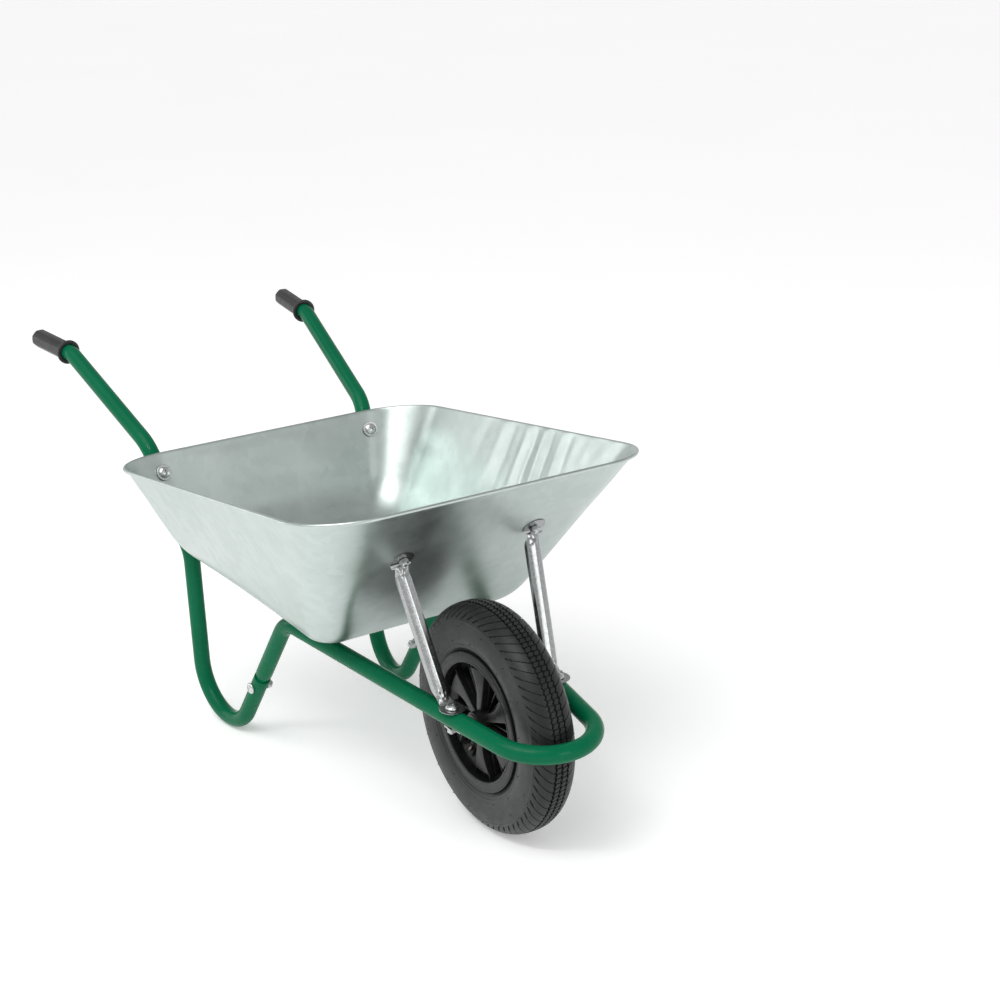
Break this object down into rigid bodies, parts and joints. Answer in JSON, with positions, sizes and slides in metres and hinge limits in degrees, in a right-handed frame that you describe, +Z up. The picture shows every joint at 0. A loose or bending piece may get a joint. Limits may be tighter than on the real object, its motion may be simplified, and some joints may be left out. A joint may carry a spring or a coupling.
{
  "type": "wheelbarrow",
  "caption": "Single-wheel garden barrow: a drawn metal pan on a bent tube frame with two stays, gripped handles and a pneumatic wheel that turns on its axle.",
  "frame": {"origin": "on the ground, under the middle of the box that holds the whole barrow", "axes": "+X the direction of travel, from the handles to the wheel; +Y the operator's left; +Z up"},
  "size_m": [1.3649, 0.6132, 0.6364],
  "materials": {
    "galvanised_sheet": "galvanised, soft satin",
    "green_paint": "gloss paint",
    "grip_rubber": "satin moulded",
    "zinc_plate": "bright zinc plate",
    "bright_steel": "turned",
    "fastener_zinc": "bright zinc plate",
    "tyre": "matt rubber",
    "tube_rubber": "matt",
    "wheel_plastic": "satin moulded",
    "bush_nylon": "satin",
    "valve_brass": "turned brass",
    "cap_plastic": "satin"
  },
  "bodies": {
    "frame": {"pan": "galvanised_sheet", "front_frame": "green_paint", "handle_leg_right": "green_paint", "handle_leg_left": "green_paint", "grip_right": "grip_rubber", "grip_left": "grip_rubber", "stay_right": "zinc_plate", "stay_left": "zinc_plate", "axle_bracket_right": "zinc_plate", "axle_bracket_left": "zinc_plate", "axle": "bright_steel", "axle_spacers": "zinc_plate", "axle_nuts": "fastener_zinc", "rear_panel_bolts": "fastener_zinc", "rear_panel_washers": "fastener_zinc", "rear_panel_nuts": "fastener_zinc", "stay_top_bolts": "fastener_zinc", "stay_top_washers": "fastener_zinc", "stay_top_nuts": "fastener_zinc", "stay_foot_bolts": "fastener_zinc", "stay_foot_nuts": "fastener_zinc", "leg_joint_bolts": "fastener_zinc", "leg_joint_washers": "fastener_zinc", "leg_joint_nuts": "fastener_zinc"},
    "wheel": {"tyre": "tyre", "inner_tube": "tube_rubber", "wheel_centre": "wheel_plastic", "hub_bush_right": "bush_nylon", "hub_bush_left": "bush_nylon", "valve_stem": "valve_brass", "valve_cap": "cap_plastic"}
  },
  "joints": [
    {"name": "wheel_spin", "type": "hinge", "parent": "frame", "child": "wheel", "pos_m": [0.459, 0, 0.185], "axis": [0, 1, 0], "continuous": true}
  ]
}
